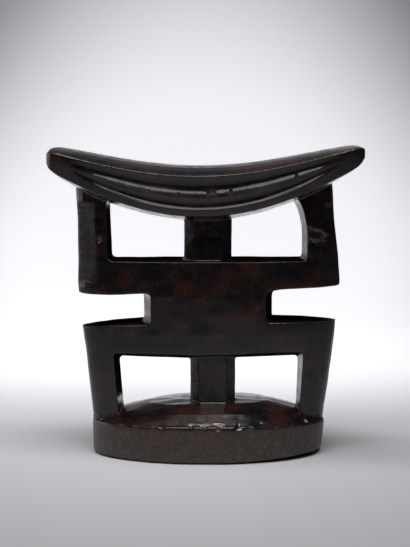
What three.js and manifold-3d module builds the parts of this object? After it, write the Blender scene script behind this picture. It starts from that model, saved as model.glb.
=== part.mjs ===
// A headrest carved from one block of dark wood. A curved saddle for the neck stands on an
// openwork support of posts and bands, and the support grows out of an oval, domed foot.
// Millimetres, +Z up. X runs along the saddle and the carved front faces -Y. The origin is on
// the ground, in the middle of the headrest's length and depth.

import * as THREE from 'three';
import { mergeVertices } from 'three/addons/utils/BufferGeometryUtils.js';
import Module from 'manifold-3d';

const wasm = await Module();
wasm.setup();

// The saddle. Each long line of it is a shallow curve that is lowest at `dip`, rises by
// bend * u^2 on both sides of it, and flattens again towards the ends by ease * u^4.
const saddle = {
  length: 173.6,
  depth: 72,
  endDepth: 61,
  crest: { lowest: 162.1, dip: -3, bend: 0.0023, ease: 1.02e-7 },
  frontEdge: { lowest: 156.5, dip: -4.5, bend: 0.00245, ease: 5.6e-8 },
  upperRidge: { lowest: 146.8, dip: -4.5, bend: 0.0036, ease: 1.1e-7 },
  lowerRidge: { lowest: 138.2, dip: -3, bend: 0.0041, ease: -4e-8 },
  lowerEdge: { lowest: 134.6, dip: -3, bend: 0.004, ease: 5e-8 },
  keel: { lowest: 131.2, dip: -3, bend: 0.0039, ease: 0 },
  fluteDepth: 1.7,
  fluteReach: 74,
  leanStart: 0.05,
  leanGrowth: 0.01,
  rounding: 8,
  topRounding: 2.6,
  underRounding: 4.6,
  sideRounding: 7,
};

// The support's outside, level by level. `left` and `right` are its reach along X, and
// `depth` is its full thickness in the middle.
const supportLevels = [
  { z: 12, left: -63.2, right: 66.2, depth: 38 },
  { z: 24, left: -64.2, right: 67.0, depth: 39 },
  { z: 40, left: -66.2, right: 69.6, depth: 41 },
  { z: 56, left: -67.8, right: 71.6, depth: 44 },
  { z: 66, left: -68.9, right: 72.8, depth: 46 },
  { z: 74, left: -70.3, right: 73.4, depth: 46 },
  { z: 90, left: -71.6, right: 75.2, depth: 46 },
  { z: 96, left: -72.2, right: 75.8, depth: 45 },
  { z: 112, left: -72.0, right: 74.7, depth: 43 },
  { z: 132, left: -72.2, right: 72.4, depth: 42 },
  { z: 154, left: -73.0, right: 71.0, depth: 42 },
];
const supportRoundnessX = 2.6;
const supportRoundnessY = 2.2;

// The openings seen from the front, as [x, z] corners clockwise from the upper left. Each one
// is cut in from both faces, so its walls spread by `flare` over `flareDepth` from mid-depth.
const windows = [
  {
    corners: [[-54.2, 158], [40, 158], [51.6, 138], [54.3, 127], [54.2, 110.2], [-52.8, 110.0]],
    rounding: 3,
    flare: { left: 1.6, right: 2.9, top: 0, bottom: 0.9 },
  },
  {
    corners: [[-48.8, 54.4], [-4, 52.6], [10, 52.8], [52.4, 54.8], [50.9, 14], [-45.6, 14]],
    rounding: 2.5,
    flare: { left: 3.4, right: 2.2, top: 4.4, bottom: 0 },
  },
];

// The gaps at the sides, between the two bands and outside the neck.
const sideGaps = [
  {
    corners: [
      [-90, 92.4], [-66, 90.2], [-56, 90.0], [-34.9, 91.2],
      [-34.9, 74.6], [-58, 73.2], [-90, 70.8],
    ],
    rounding: 3,
    flare: { left: 0, right: 4.2, top: 0.5, bottom: 0.2 },
  },
  {
    corners: [[37.6, 91.4], [44, 93.0], [90, 95.6], [90, 75.5], [37.6, 75.6]],
    rounding: 2.6,
    flare: { left: 4.3, right: 0, top: 0.5, bottom: 0.2 },
  },
];
const flareDepth = 20;

// The two middle posts, eight-sided, a little slimmer at half height.
const postDepth = 38;
const postSideDepth = 19;
const middlePosts = [
  { x: 1.2, width: 27.4, faceWidth: 15.4, bottom: 100, top: 145, waist: 0.96 },
  { x: 4.0, width: 26.0, faceWidth: 15.0, bottom: 22, top: 66, waist: 0.97 },
];

// The oval foot: a plain side with a rounded lower edge, and a domed top cut in flat facets.
const foot = {
  x: 1.7,
  width: 131.6,
  depth: 80.6,
  rim: 20.8,
  rimDrop: 1.6,
  rimRounding: 1.4,
  lowerRounding: 3.2,
  inset: 2.2,
  domeTop: 31.2,
  domeTilt: 0.02,
  domeFullness: 3.5,
  facetsAround: 34,
  rightTaper: 1.6,
  wear: { lift: 2, reach: 8, angle: -0.35, spread: 0.8 },
};

const woodColour = 0x2c2725;
const woodRoughness = 0.38;

// The height of one of the saddle's long lines at a place along it.
function lineHeight(line, x) {
  const u = x - line.dip;
  return line.lowest + line.bend * u ** 2 - line.ease * u ** 4;
}

// How far a rounded end has drawn in at x: nothing until `rounding` from the end.
function endInset(x, amount) {
  const left = saddle.length / 2 - Math.abs(x);
  const near = Math.max(0, 1 - left / saddle.rounding);
  return amount * (1 - Math.sqrt(1 - near ** 2));
}

// A geometry as a solid that can be joined and cut.
function solidOf(geometry) {
  geometry.deleteAttribute('normal');
  geometry.deleteAttribute('uv');
  const merged = mergeVertices(geometry, 1e-4);
  return new wasm.Manifold(new wasm.Mesh({
    numProp: 3,
    vertProperties: merged.attributes.position.array,
    triVerts: new Uint32Array(merged.index.array),
  }));
}

function geometryOf(solid) {
  const mesh = solid.getMesh();
  const geometry = new THREE.BufferGeometry();
  geometry.setAttribute('position', new THREE.BufferAttribute(mesh.vertProperties, 3));
  geometry.setIndex(new THREE.BufferAttribute(mesh.triVerts, 1));
  geometry.computeVertexNormals();
  return geometry;
}

// Moves every vertex of a geometry with place(point).
function reshape(geometry, place) {
  const position = geometry.attributes.position;
  const point = new THREE.Vector3();
  for (let i = 0; i < position.count; i++) {
    point.fromBufferAttribute(position, i);
    place(point);
    position.setXYZ(i, point.x, point.y, point.z);
  }
  return geometry;
}

// Points from one value to another, without the first.
function steps(from, to, count) {
  return Array.from({ length: count }, (_, i) => from + (to - from) * (i + 1) / count);
}

// The saddle's cross-section at x, as [y, z] points from the back edge over the top, down the
// fluted front, along the hull below and up the back.
function saddleSection(x) {
  const reach = Math.abs(x) / (saddle.length / 2);
  const half = (saddle.depth + (saddle.endDepth - saddle.depth) * reach ** 2) / 2;
  const topInset = endInset(x, saddle.topRounding);
  const underInset = endInset(x, saddle.underRounding);
  const edge = lineHeight(saddle.frontEdge, x) - topInset;
  const crest = lineHeight(saddle.crest, x) - topInset;
  const keel = lineHeight(saddle.keel, x) + underInset;
  const low = Math.max(lineHeight(saddle.lowerEdge, x) + underInset * 0.6, keel + 1);
  const fade = Math.max(0, 1 - (Math.abs(x) / saddle.fluteReach) ** 4);
  const draw = endInset(x, saddle.sideRounding);
  const lean = (z) => saddle.leanStart * (edge - z) + saddle.leanGrowth * (edge - z) ** 2;
  const face = (z, hollow) => half - draw - lean(z) - hollow;
  const lowHalf = face(low, 0);
  const points = [];

  for (const y of steps(half - draw, draw - half, 8)) {
    points.push([y, edge + (crest - edge) * (1 - (y / (half - draw)) ** 2)]);
  }

  // Two flutes, each a hollow between two lines, and a plain band below them.
  const upper = Math.min(lineHeight(saddle.upperRidge, x), edge - 2);
  const lower = Math.min(lineHeight(saddle.lowerRidge, x), upper - 1.2);
  const bottom = Math.min(low, lower - 1.5);
  for (const [top, base, count] of [[edge, upper, 6], [upper, lower, 6], [lower, bottom, 2]]) {
    for (const share of steps(0, 1, count)) {
      const z = top + (base - top) * share;
      const depth = count === 6 ? saddle.fluteDepth * fade * Math.sin(Math.PI * share) : 0;
      points.push([-face(z, depth), z]);
    }
  }

  for (const y of steps(-lowHalf, lowHalf, 8)) {
    points.push([y, keel + (low - keel) * (y / lowHalf) ** 2]);
  }

  // The back is plainer: one wide, shallow flute.
  for (const share of steps(0, 1, 8)) {
    const z = low + (edge - low) * share;
    points.push([face(z, saddle.fluteDepth * 0.7 * fade * Math.sin(Math.PI * share)), z]);
  }
  return points;
}

function saddleSolid() {
  const around = saddleSection(0).length;
  const along = 50;
  const skin = new THREE.CylinderGeometry(1, 1, 1, around, along);
  reshape(skin, (point) => {
    // Sections stand closer together towards the ends, where the saddle rounds off.
    const x = Math.sin(point.y * Math.PI) * saddle.length / 2;
    const section = saddleSection(x);
    const turn = Math.round(Math.atan2(point.x, point.z) / (2 * Math.PI) * around);
    const onRim = Math.hypot(point.x, point.z) > 0.5;
    const [y, z] = section[(turn + around - 1) % around];
    const middle = (lineHeight(saddle.crest, x) + lineHeight(saddle.keel, x)) / 2;
    point.set(x, onRim ? y : 0, onRim ? z : middle);
  });
  return solidOf(skin);
}

function levelAt(z) {
  const above = supportLevels.findIndex((level) => level.z >= z - 1e-6);
  const high = supportLevels[Math.max(above, 1)];
  const low = supportLevels[Math.max(above, 1) - 1];
  const share = (z - low.z) / (high.z - low.z);
  const mix = (name) => low[name] + (high[name] - low[name]) * share;
  return { left: mix('left'), right: mix('right'), depth: mix('depth') };
}

// The support before its openings are cut: a rounded, lens-like body.
function supportBlank() {
  const bottom = supportLevels[0].z;
  const top = supportLevels[supportLevels.length - 1].z;
  const around = 48;
  const skin = new THREE.CylinderGeometry(1, 1, 1, around, 20);
  reshape(skin, (point) => {
    const z = bottom + (point.y + 0.5) * (top - bottom);
    const { left, right, depth } = levelAt(z);
    const radius = Math.hypot(point.x, point.z);
    const angle = Math.atan2(point.x, point.z);
    const swell = (value, roundness) => Math.sign(value) * Math.abs(value) ** (2 / roundness);
    const x = (left + right) / 2 + (right - left) / 2 * swell(Math.cos(angle), supportRoundnessX);
    point.set(
      radius > 0.5 ? x : (left + right) / 2,
      radius > 0.5 ? depth / 2 * swell(Math.sin(angle), supportRoundnessY) : 0,
      z,
    );
  });
  return solidOf(skin);
}

// A closed outline through corners, with each corner rounded off.
function roundedOutline(corners, rounding) {
  const shape = new THREE.Shape();
  const points = corners.map(([x, z]) => new THREE.Vector2(x, z));
  points.forEach((corner, i) => {
    const before = points[(i + points.length - 1) % points.length];
    const after = points[(i + 1) % points.length];
    const cut = (other) => corner.clone().lerp(other, rounding / corner.distanceTo(other));
    const start = cut(before);
    const end = cut(after);
    if (i === 0) {
      shape.moveTo(start.x, start.y);
    } else {
      shape.lineTo(start.x, start.y);
    }
    shape.quadraticCurveTo(corner.x, corner.y, end.x, end.y);
  });
  return shape;
}

// The tool shape of an opening, through the whole depth, spreading towards both faces.
function openingSolid({ corners, rounding, flare }) {
  const depth = 3 * flareDepth;
  const cutter = new THREE.ExtrudeGeometry(roundedOutline(corners, rounding), {
    depth, steps: 6, bevelEnabled: false, curveSegments: 4,
  });
  cutter.rotateX(Math.PI / 2).translate(0, depth / 2, 0);
  cutter.computeBoundingBox();
  const centre = cutter.boundingBox.getCenter(new THREE.Vector3());
  reshape(cutter, (point) => {
    const spread = Math.abs(point.y) / flareDepth;
    point.x += spread * (point.x > centre.x ? flare.right : -flare.left);
    point.z += spread * (point.z > centre.z ? flare.top : -flare.bottom);
  });
  return solidOf(cutter);
}

function postSolid({ x, width, faceWidth, bottom, top, waist }) {
  const backHalf = [
    [width / 2, postSideDepth / 2],
    [faceWidth / 2, postDepth / 2],
    [-faceWidth / 2, postDepth / 2],
    [-width / 2, postSideDepth / 2],
  ];
  const frontHalf = backHalf.map(([px, py]) => [-px, -py]);
  const plan = new THREE.Shape([...backHalf, ...frontHalf].map(([px, py]) => new THREE.Vector2(px, py)));
  const height = top - bottom;
  const post = new THREE.ExtrudeGeometry(plan, { depth: height, steps: 6, bevelEnabled: false });
  reshape(post, (point) => {
    const bow = 1 - (1 - waist) * Math.sin(Math.PI * point.z / height);
    point.set(x + point.x * bow, point.y * bow, bottom + point.z);
  });
  return solidOf(post);
}

// An oval turned shape from a profile of [half width, height] points. The rim is lowest at
// its two ends, the dome leans a little, the right side narrows downwards, and the lower edge
// is worn away at the right front.
function ovalSolid(profile, segments) {
  const { wear } = foot;
  const flat = foot.width / 2 - foot.lowerRounding - wear.reach;
  const points = profile.map(([reach, z]) => new THREE.Vector2(reach, z));
  const turned = new THREE.LatheGeometry(points, segments);
  turned.rotateX(Math.PI / 2);
  reshape(turned, (point) => {
    const side = point.x / (foot.width / 2);
    const height = Math.min(1, point.z / foot.rim);
    const angle = Math.atan2(point.y, point.x);
    const worn = wear.lift * Math.exp(-(((angle - wear.angle) / wear.spread) ** 2));
    const outside = Math.max(0, Math.hypot(point.x, point.y) - flat) / wear.reach;
    point.z += worn * Math.min(1, outside) * Math.max(0, 1 - 2 * height);
    point.z += foot.domeTilt * point.x * Math.max(0, point.z - foot.rim) / 10;
    point.z -= foot.rimDrop * side ** 2 * height;
    point.x += foot.x - foot.rightTaper * Math.max(0, side) * (1 - height);
    point.y *= foot.depth / foot.width;
  });
  return solidOf(turned);
}

function footSolid() {
  const half = foot.width / 2;
  const profile = [
    [0, 0],
    [half - foot.lowerRounding - foot.wear.reach, 0],
    [half - foot.lowerRounding, 0],
  ];
  for (const share of steps(0, 1, 4)) {
    const angle = share * Math.PI / 2;
    profile.push([
      half - foot.lowerRounding * (1 - Math.sin(angle)),
      foot.lowerRounding * (1 - Math.cos(angle)),
    ]);
  }
  profile.push([half, foot.rim - foot.rimRounding]);
  profile.push([half - foot.rimRounding * 0.3, foot.rim - foot.rimRounding * 0.3]);
  profile.push([half - foot.rimRounding, foot.rim]);
  profile.push([0, foot.rim]);

  const domeProfile = [[0, foot.rim - 4], [half - foot.inset, foot.rim - 4]];
  for (const share of [1, 0.8, 0.55, 0.3, 0]) {
    const rise = (foot.domeTop - foot.rim) * (1 - share ** foot.domeFullness);
    domeProfile.push([(half - foot.inset) * share, foot.rim + rise - 0.2]);
  }
  return ovalSolid(profile, 80).add(ovalSolid(domeProfile, foot.facetsAround));
}

let body = supportBlank();
for (const opening of [...windows, ...sideGaps]) {
  body = body.subtract(openingSolid(opening));
}
for (const post of middlePosts) {
  body = body.add(postSolid(post));
}
body = body.add(footSolid()).add(saddleSolid());

const wood = new THREE.MeshStandardMaterial({
  color: woodColour,
  roughness: woodRoughness,
  metalness: 0,
});
const headrest = new THREE.Mesh(geometryOf(body), wood);
headrest.name = 'headrest';

const part = new THREE.Group();
part.add(headrest);

export default part;
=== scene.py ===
import math

import bmesh
import bpy
import numpy as np
from mathutils import Matrix, Vector, noise


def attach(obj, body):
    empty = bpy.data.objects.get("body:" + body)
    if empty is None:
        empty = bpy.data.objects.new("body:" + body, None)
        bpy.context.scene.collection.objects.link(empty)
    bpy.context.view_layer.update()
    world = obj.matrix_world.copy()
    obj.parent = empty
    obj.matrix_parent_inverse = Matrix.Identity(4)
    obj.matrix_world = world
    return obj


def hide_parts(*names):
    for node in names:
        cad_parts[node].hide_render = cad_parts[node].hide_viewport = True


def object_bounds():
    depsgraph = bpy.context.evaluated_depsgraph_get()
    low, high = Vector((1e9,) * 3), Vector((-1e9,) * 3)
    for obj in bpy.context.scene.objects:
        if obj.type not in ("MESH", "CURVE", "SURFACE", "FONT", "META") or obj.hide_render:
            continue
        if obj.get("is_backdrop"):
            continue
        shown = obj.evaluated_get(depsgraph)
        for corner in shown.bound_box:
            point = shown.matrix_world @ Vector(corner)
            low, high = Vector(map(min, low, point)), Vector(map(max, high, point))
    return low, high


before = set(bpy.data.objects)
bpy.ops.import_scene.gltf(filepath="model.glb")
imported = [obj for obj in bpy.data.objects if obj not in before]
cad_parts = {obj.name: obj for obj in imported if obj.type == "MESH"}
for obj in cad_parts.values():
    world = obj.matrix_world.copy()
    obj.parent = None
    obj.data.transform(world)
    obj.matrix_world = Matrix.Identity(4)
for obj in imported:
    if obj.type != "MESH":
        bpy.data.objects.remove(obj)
cadLow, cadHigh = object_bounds()
mm = 0.001
print("frame loaded")


# sRGB hex to the linear colour that the shaders take
def hexColour(code):
    values = [int(code[i : i + 2], 16) / 255 for i in (1, 3, 5)]
    return [v / 12.92 if v <= 0.04045 else ((v + 0.055) / 1.055) ** 2.4 for v in values] + [1]


# Adds a node, sets it up, and links or fills its inputs
def addNode(tree, kind, inputs=None, **settings):
    made = tree.nodes.new(kind)
    for name, value in settings.items():
        setattr(made, name, value)
    for name, value in (inputs or {}).items():
        if isinstance(value, bpy.types.NodeSocket):
            tree.links.new(value, made.inputs[name])
        else:
            made.inputs[name].default_value = value
    return made


def newMaterial(name):
    made = bpy.data.materials.new(name)
    made.use_nodes = True
    made.node_tree.nodes.clear()
    return made, made.node_tree


# Camera: level with the saddle's ends, looking down a little from about 0.8 m
shot = {
    "place": (-0.34 * mm, -800 * mm, 170.54 * mm),
    "down": 4.966,
    "lens": 93.54,
    "sensor": 36,
}
lensData = bpy.data.cameras.new("camera")
lensData.lens = shot["lens"]
lensData.sensor_width = shot["sensor"]
camera = bpy.data.objects.new("camera", lensData)
camera.location = shot["place"]
camera.rotation_euler = (math.radians(90 - shot["down"]), 0, 0)
bpy.context.scene.collection.objects.link(camera)
bpy.context.scene.camera = camera
print("camera set")


# The carved piece: the block comes from the CAD solid, then tool marks and wear are worked in
carving = {
    "voxel": 0.5 * mm,
    "softenPasses": 3,
    "softenShare": 0.5,
    "creasePasses": 14,
    "triangles": 192000,
}


def withModifier(piece, kind, **settings):
    added = piece.modifiers.new(kind.lower(), kind)
    for name, value in settings.items():
        setattr(added, name, value)
    shaped = bpy.data.meshes.new_from_object(
        piece.evaluated_get(bpy.context.evaluated_depsgraph_get())
    )
    piece.modifiers.clear()
    old = piece.data
    piece.data = shaped
    bpy.data.meshes.remove(old)


def carvedBlock(node):
    solid = bmesh.new()
    solid.from_mesh(node.data)
    bmesh.ops.remove_doubles(solid, verts=solid.verts, dist=0.0001 * mm)
    mesh = bpy.data.meshes.new("headrestCarving")
    solid.to_mesh(mesh)
    solid.free()
    piece = bpy.data.objects.new("headrestCarving", mesh)
    bpy.context.scene.collection.objects.link(piece)
    withModifier(piece, "REMESH", mode="VOXEL", voxel_size=carving["voxel"])
    withModifier(
        piece, "SMOOTH", factor=carving["softenShare"], iterations=carving["softenPasses"]
    )
    return piece


# Vertex places in mm
def readSpots(piece):
    values = np.empty(3 * len(piece.data.vertices))
    piece.data.vertices.foreach_get("co", values)
    return values.reshape(-1, 3) / mm


def readNormals(piece):
    values = np.empty(3 * len(piece.data.vertices))
    piece.data.vertex_normals.foreach_get("vector", values)
    return values.reshape(-1, 3)


def writeSpots(piece, spots):
    piece.data.vertices.foreach_set("co", (spots * mm).ravel())
    piece.data.update()


def writeShare(piece, name, values):
    layer = piece.data.attributes.new(name, "FLOAT", "POINT")
    layer.data.foreach_set("value", np.clip(values, 0, 1))


# 0 below low, 1 above high, smooth between
def ramp(values, low, high):
    share = np.clip((values - low) / (high - low), 0, 1)
    return share * share * (3 - 2 * share)


def within(values, low, high, fade):
    return ramp(values, low - fade, low + fade) * (1 - ramp(values, high - fade, high + fade))


# Soft noise between about -1 and 1, with its grain size in mm along x, y and z
def mottle(spots, size, seed):
    cells = spots / np.array(size) + 31.7 * seed
    return np.array([noise.noise(cell) for cell in cells.tolist()])


# How deep the deepest of a set of shallow scoops goes: x, y, turn, half length, half width, depth
def scooped(across, along, cuts):
    deepest = np.zeros(len(across))
    for x, y, turn, length, width, depth in cuts:
        cosine, sine = math.cos(math.radians(turn)), math.sin(math.radians(turn))
        u = ((across - x) * cosine + (along - y) * sine) / length
        v = ((along - y) * cosine - (across - x) * sine) / width
        deepest = np.maximum(deepest, depth * (1 - u * u - v * v))
    return deepest


# Distance in mm from each spot to a polyline, over the given axes
def lineDistance(spots, axes, path):
    here = spots[:, axes]
    best = np.full(len(spots), 1e9)
    for start, end in zip(path, path[1:]):
        start, step = np.array(start), np.array(end) - np.array(start)
        share = np.clip((here - start) @ step / (step @ step), 0, 1)
        best = np.minimum(best, np.linalg.norm(here - start - share[:, None] * step, axis=1))
    return best


# Saddle lines seen from the front: height of the lowest point, where it lies, and two curvatures
lines = {
    "frontEdge": (156.5, -4.5, 0.00245, 5.6e-8),
    "upperRidge": (146.8, -4.5, 0.0036, 1.1e-7),
    "lowerRidge": (138.2, -3, 0.0041, -4e-8),
    "keel": (131.2, -3, 0.0039, 0),
}


def lineHeight(name, across):
    lowest, middle, bend, ease = lines[name]
    return lowest + bend * (across - middle) ** 2 - ease * (across - middle) ** 4


# Hollows the front between two of the lines, steepest just above the lower one
def flute(name, below, depth, reach):
    top, base = lineHeight(name, x), lineHeight(below, x)
    share = np.clip((z - base) / (top - base), 0, 1)
    hollow = 1.75 * share ** 0.62 * (1 - share) ** 1.15
    fading = 1 - ramp(np.abs(x - 1), reach - 26, reach)
    return depth * hollow * fading * ramp(-y, 24, 29)


# A flat adze cut: what stands out past the plane is brought back to it
def hewn(direction, distance, where):
    along = np.array(direction) / np.linalg.norm(direction)
    past = np.clip(spots @ along - distance, 0, None)
    return -np.outer(past * where, along)


headrest = carvedBlock(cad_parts["headrest"])
spots = readSpots(headrest)
normals = readNormals(headrest)
x, y, z = spots.T
print("block ready:", len(spots), "vertices")

support = ramp(z, 32, 34) * (1 - ramp(z - lineHeight("keel", x), -2.5, -0.5))
seat = ramp(normals[:, 2], 0.5, 0.8) * ramp(z - lineHeight("frontEdge", x), -1, 0.5)
onDome = within(z, 21.5, 33, 1.2) * ramp(normals[:, 2], 0.3, 0.7)
onFootSide = (1 - ramp(z, 17, 20)) * (1 - ramp(np.abs(normals[:, 2]), 0.5, 0.8))

# Two flutes along the front of the saddle
move = np.zeros_like(spots)
move[:, 1] = flute("frontEdge", "upperRidge", 1.3, 76) + flute("upperRidge", "lowerRidge", 1.5, 72)

# Hand-worked unevenness all over, less on the seat
push = 0.28 * mottle(spots, (24, 24, 20), 1) + 0.1 * mottle(spots, (9, 9, 8), 2)
push *= 1 - 0.75 * seat

# Dome of the foot: fine ripples from the adze that break up the reflections
push += onDome * 0.2 * mottle(spots, (26, 6.5, 30), 3)
push += onDome * 0.07 * mottle(spots, (12, 3, 12), 4)

# Foot's side: broad upright facets, and a rim with small bites out of it
push += onFootSide * 0.3 * mottle(spots, (14, 14, 26), 5)
bites = ramp(mottle(spots, (5, 5, 4), 6), 0.12, 0.5) * within(z, 18.6, 22, 1) * (1 - onDome)
push -= 0.9 * bites

# Nicks in the upper ridge, each at x and with its half length
for place, length in ((1.8, 1.2), (4.5, 0.7), (13.6, 0.8), (49.1, 1.0)):
    away = np.hypot((x - place) / length, (z - lineHeight("upperRidge", x)) / 1.1)
    push -= 0.8 * (1 - ramp(away, 0.4, 1.2)) * (y < -20)

# Knot in the right post, with two cracks that run to the window and a flat beside it
frontPost = support * ramp(-normals[:, 1], 0.4, 0.7)
knot = np.hypot((x - 63.6) / 4.2, (z - 123.2) / 4.6)
knotGrain = 0.35 * mottle(spots, (2.2, 2.2, 1.6), 7) * (1 - ramp(knot, 0.8, 1.8))
push += frontPost * (0.5 * (1 - ramp(knot, 0.5, 1.4)) + knotGrain)
push -= frontPost * scooped(x, z, [(65.7, 121.6, 60, 3.4, 2.2, 0.8)])
for path in (
    ((51.5, 129.4), (55.5, 127.8), (59.5, 126.2), (64, 125.3), (67.5, 122.6)),
    ((55.2, 122.6), (58.5, 120.4), (63.4, 119.4), (66.3, 120.6)),
):
    push -= 0.9 * frontPost * (1 - ramp(lineDistance(spots, [0, 2], path), 0.25, 1.1))

# Dent and a scraped place in the left post
push -= frontPost * 0.9 * (1 - ramp(np.hypot((x + 58.9) / 1.5, (z - 120.7) / 1.9), 0.3, 1.1))

# Ledges hollowed between their edges
onLedge = support * ramp(normals[:, 2], 0.6, 0.9) * within(z, 70, 115, 2)
push -= onLedge * 0.7 * (1 - np.clip(y / 16, -1, 1) ** 2)

move += normals * push[:, None]

# Long flats hewn down the corners of the posts
upperPosts = within(z, 96, 140, 2)
move += hewn((-0.66, -0.75, 0), 50.1, upperPosts * (x < 0))
move += hewn((0.7, -0.71, 0.02), 55.9, upperPosts * (x > 0))
spots += move

# Edges eased by handling: the seat's front edge most of all
writeSpots(headrest, spots)
normals = readNormals(headrest)
eased = headrest.copy()
eased.data = headrest.data.copy()
bpy.context.scene.collection.objects.link(eased)
withModifier(eased, "SMOOTH", factor=0.5, iterations=carving["creasePasses"])
softer = readSpots(eased)
bpy.data.objects.remove(eased)
bulge = np.sum((spots - softer) * normals, axis=1)
brow = within(z - lineHeight("frontEdge", x), -1.2, 2.5, 0.7) * ramp(-y, 24, 30)
ease = np.maximum(0.9 * brow, 0.45 * ramp(bulge, 0.1, 0.35) * support)
spots += (softer - spots) * ease[:, None]
low, high = np.array(cadLow) / mm, np.array(cadHigh) / mm
spots = np.clip(spots, low + 0.001, high - 0.001)
writeSpots(headrest, spots)

inside = support * (1 - ramp(np.abs(normals[:, 1]), 0.35, 0.6))
inside *= 1 - ramp(np.abs(x), 60, 64) * ramp(np.abs(normals[:, 0]), 0.3, 0.6)
inside *= 1 - 0.85 * ramp(-normals[:, 0], 0.5, 0.8)
writeShare(headrest, "polish", 1 - inside)
writeShare(headrest, "wear", ramp(bulge, 0.08, 0.4))
writeShare(headrest, "crevice", ramp(-bulge, 0.06, 0.3))
writeShare(headrest, "footSide", onFootSide)
writeShare(headrest, "seat", seat)
print("carved:", np.percentile(bulge, [1, 10, 50, 90, 99]).round(3))

withModifier(headrest, "DECIMATE", ratio=carving["triangles"] / (2 * len(headrest.data.polygons)))
for face in headrest.data.polygons:
    face.use_smooth = True
print("headrest carved:", len(headrest.data.polygons), "faces")


# Dense dark hardwood, carved with an adze, smoked and oiled, then handled until it shines
wood, tree = newMaterial("handledHardwood")


def share(name):
    return addNode(tree, "ShaderNodeAttribute", attribute_name=name).outputs["Fac"]


def blend(amount, first, second):
    made = addNode(tree, "ShaderNodeMix", {"Factor": amount, 6: first, 7: second}, data_type="RGBA")
    return made.outputs[2]


def figure(kind, first, second=0.0, **settings):
    return addNode(tree, "ShaderNodeMath", {0: first, 1: second}, operation=kind, **settings).outputs[0]


def span(value, low, high, start=0.0, end=1.0):
    made = addNode(tree, "ShaderNodeMapRange", {
        "Value": value,
        "From Min": low,
        "From Max": high,
        "To Min": start,
        "To Max": end,
    }, interpolation_type="SMOOTHSTEP")
    return made.outputs["Result"]


# Noise with its grain size in mm along x, y and z
def grain(size, detail=3.0, rough=0.55):
    place = addNode(tree, "ShaderNodeTexCoord").outputs["Object"]
    scaled = addNode(tree, "ShaderNodeMapping", {
        "Vector": place,
        "Scale": [1 / (mm * s) for s in size],
    })
    made = addNode(tree, "ShaderNodeTexNoise", {
        "Vector": scaled.outputs["Vector"],
        "Scale": 1.0,
        "Detail": detail,
        "Roughness": rough,
    })
    return made.outputs["Fac"]


polish = share("polish")
wear = share("wear")
crevice = share("crevice")
footSide = share("footSide")

cloud = span(grain((22, 22, 14)), 0.42, 0.66)
colour = blend(cloud, hexColour("#181517"), hexColour("#35211d"))
streaks = span(grain((1.1, 1.1, 9), 3), 0.6, 0.8)
colour = blend(figure("MULTIPLY", streaks, 0.4), colour, hexColour("#5a4b43"))
flecks = span(grain((1.6, 1.6, 2.2), 4, 0.7), 0.45, 0.75)
footTone = blend(flecks, hexColour("#3a2f2b"), hexColour("#5d4d44"))
colour = blend(footSide, colour, footTone)
colour = blend(figure("MULTIPLY", wear, 0.55), colour, hexColour("#77655b"))
dusty = figure("MULTIPLY", crevice, span(grain((3, 3, 3)), 0.4, 0.6))
colour = blend(figure("MULTIPLY", dusty, 0.5), colour, hexColour("#a08c78"))

matte = span(grain((7, 7, 5)), 0.4, 0.7, 0.17, 0.3)
rough = addNode(tree, "ShaderNodeMix", {0: polish, 2: 0.75, 3: matte}).outputs[0]
rough = addNode(tree, "ShaderNodeMix", {0: footSide, 2: rough, 3: 0.42}).outputs[0]
gleam = figure("MULTIPLY", polish, 0.5)

marks = addNode(tree, "ShaderNodeBump", {
    "Height": grain((2.2, 2.2, 1.6), 4, 0.6),
    "Distance": 0.1 * mm,
    "Strength": span(share("seat"), 0.2, 0.8, 0.45, 0.04),
})
skin = addNode(tree, "ShaderNodeBsdfPrincipled", {
    "Base Color": colour,
    "Roughness": rough,
    "Specular IOR Level": gleam,
    "Normal": marks.outputs["Normal"],
    "IOR": 1.5,
})
addNode(tree, "ShaderNodeOutputMaterial", {"Surface": skin.outputs["BSDF"]})
headrest.data.materials.clear()
headrest.data.materials.append(wood)

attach(headrest, "root")
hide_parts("headrest")

# Stage: a pale paper sweep with a painted glow, brightest behind the piece, and a dark sheet out of
# shot in front that paints shade into reflections.
# The curve starts far enough back for a view of the piece from behind.
stage = {
    "left": -3,
    "right": 3,
    "front": -3,
    "curveStart": 0.55,
    "curve": 1.0,
    "top": 2.6,
    "glowPlace": (-0.01, 0.5, 0.07),
    "glowInner": 0.3,
    "glowOuter": 0.9,
    "glowStrength": 0.62,
    "drawnFrom": 0.25,
    "drawnTo": 0.95,
    "drawnIn": 0.4,
}


def sweep():
    shape = bmesh.new()
    first = shape.verts.new((stage["left"], stage["front"], 0))
    second = shape.verts.new((stage["left"], stage["curveStart"], 0))
    shape.edges.new((first, second))
    bend = bmesh.ops.spin(
        shape,
        geom=[second],
        cent=(stage["left"], stage["curveStart"], stage["curve"]),
        axis=(1, 0, 0),
        angle=math.pi / 2,
        steps=32,
        use_merge=False,
    )
    last = [v for v in bend["geom_last"] if isinstance(v, bmesh.types.BMVert)]
    lifted = bmesh.ops.extrude_vert_indiv(shape, verts=last)
    bmesh.ops.translate(shape, verts=lifted["verts"], vec=(0, 0, stage["top"] - stage["curve"]))
    across = bmesh.ops.extrude_edge_only(shape, edges=list(shape.edges))
    moved = [v for v in across["geom"] if isinstance(v, bmesh.types.BMVert)]
    bmesh.ops.translate(shape, verts=moved, vec=(stage["right"] - stage["left"], 0, 0))
    return stageObject("sweep", shape)


def stageObject(name, shape):
    mesh = bpy.data.meshes.new(name)
    shape.to_mesh(mesh)
    shape.free()
    for face in mesh.polygons:
        face.use_smooth = True
    made = bpy.data.objects.new(name, mesh)
    bpy.context.scene.collection.objects.link(made)
    made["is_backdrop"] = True
    return made
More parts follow.
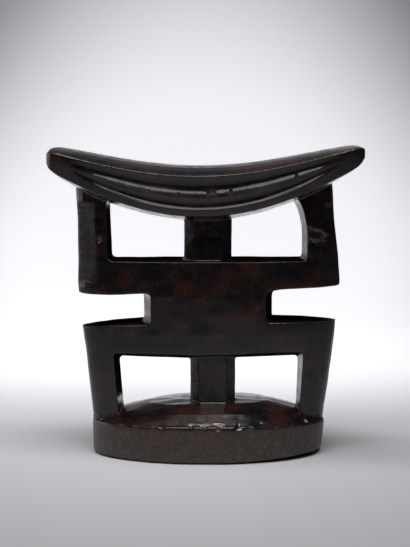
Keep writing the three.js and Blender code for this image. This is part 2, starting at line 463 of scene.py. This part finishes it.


# A dark sheet on the floor in front that stands in for the unlit room: painted shade seen in
# reflections but not by the camera
def shadeSheet(name, place, size):
    shape = bmesh.new()
    bmesh.ops.create_grid(shape, x_segments=1, y_segments=1, size=0.5)
    bmesh.ops.scale(shape, verts=shape.verts, vec=(size[0], size[1], 1))
    made = stageObject(name, shape)
    made.location = place
    made.visible_camera = False
    made.visible_shadow = False
    paintedShadeCloth, tree = newMaterial(name)
    face = addNode(tree, "ShaderNodeBsdfDiffuse", {"Color": hexColour("#0c0c0c")})
    addNode(tree, "ShaderNodeOutputMaterial", {"Surface": face.outputs["BSDF"]})
    made.data.materials.append(paintedShadeCloth)
    return made


def softbox(name, place, aim, size, radiance):
    data = bpy.data.lights.new(name, "AREA")
    data.shape = "RECTANGLE"
    data.size, data.size_y = size
    data.energy = radiance * size[0] * size[1] * math.pi
    made = bpy.data.objects.new(name, data)
    made.location = place
    made.rotation_euler = (Vector(aim) - Vector(place)).to_track_quat("-Z", "Y").to_euler()
    made.visible_camera = False
    bpy.context.scene.collection.objects.link(made)
    return made


paper = sweep()
paint, tree = newMaterial("palePaperWithPaintedGlow")
where = addNode(tree, "ShaderNodeTexCoord")
place = addNode(tree, "ShaderNodeSeparateXYZ", {"Vector": where.outputs["Object"]})

# The painted glow spreads over the far part of the sweep, so that part is measured drawn in
drawn = span(place.outputs["Y"], stage["drawnFrom"], stage["drawnTo"], 0.0, stage["drawnIn"])
smaller = figure("SUBTRACT", 1.0, figure("MULTIPLY", drawn, 0.5))
depth = figure("SUBTRACT", place.outputs["Y"], drawn)
nearer = addNode(tree, "ShaderNodeCombineXYZ", {
    "X": figure("MULTIPLY", place.outputs["X"], smaller),
    "Y": depth,
    "Z": figure("MULTIPLY", place.outputs["Z"], smaller),
})
stretched = addNode(tree, "ShaderNodeVectorMath", {
    0: nearer.outputs["Vector"],
    1: (2.1, 1, 1),
}, operation="MULTIPLY")
away = addNode(tree, "ShaderNodeVectorMath", {
    0: stretched.outputs["Vector"],
    1: (2.1 * stage["glowPlace"][0], stage["glowPlace"][1], stage["glowPlace"][2]),
}, operation="DISTANCE")
# Painted light: a glowing pool on the paper behind the piece, in both its colour and its emission, with
# painted shade towards the sweep's edges
fade = span(away.outputs["Value"], stage["glowInner"], stage["glowOuter"], 1.0, 0.0)
glow = figure("MULTIPLY", fade, span(depth, 0.02, 0.4, 0.0, stage["glowStrength"]))
sheet = addNode(tree, "ShaderNodeBsdfPrincipled", {
    "Base Color": blend(fade, hexColour("#9a9a9e"), hexColour("#e6e6ea")),
    "Roughness": 0.9,
    "Specular IOR Level": 0.1,
    "Emission Color": hexColour("#fafaff"),
    "Emission Strength": glow,
})
addNode(tree, "ShaderNodeOutputMaterial", {"Surface": sheet.outputs["BSDF"]})
paper.data.materials.append(paint)

shadeSheet("frontShadeSheet", (0, -1.95, 0.002), (6, 2.6))
softbox("leftLight", (-0.85, 0.42, 0.28), (0, 0, 0.08), (1.0, 0.6), 0.9)
softbox("topLight", (-0.05, -0.1, 1.1), (0, 0, 0.09), (0.8, 0.2), 13.0)
softbox("frontTopLight", (-0.1, -0.5, 0.95), (0, 0, 0.09), (0.9, 0.55), 3.4)

world = bpy.data.worlds.new("studio")
bpy.context.scene.world = world
world.use_nodes = True
tree = world.node_tree
tree.nodes.clear()
seen = addNode(tree, "ShaderNodeLightPath")
air = addNode(tree, "ShaderNodeBackground", {
    "Color": blend(seen.outputs["Is Camera Ray"], hexColour("#1c1c1e"), hexColour("#d8d8dc")),
    "Strength": 1.0,
})
addNode(tree, "ShaderNodeOutputWorld", {"Surface": air.outputs["Background"]})
bpy.context.scene.view_settings.view_transform = "Standard"
print("stage and lights set")

low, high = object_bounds()
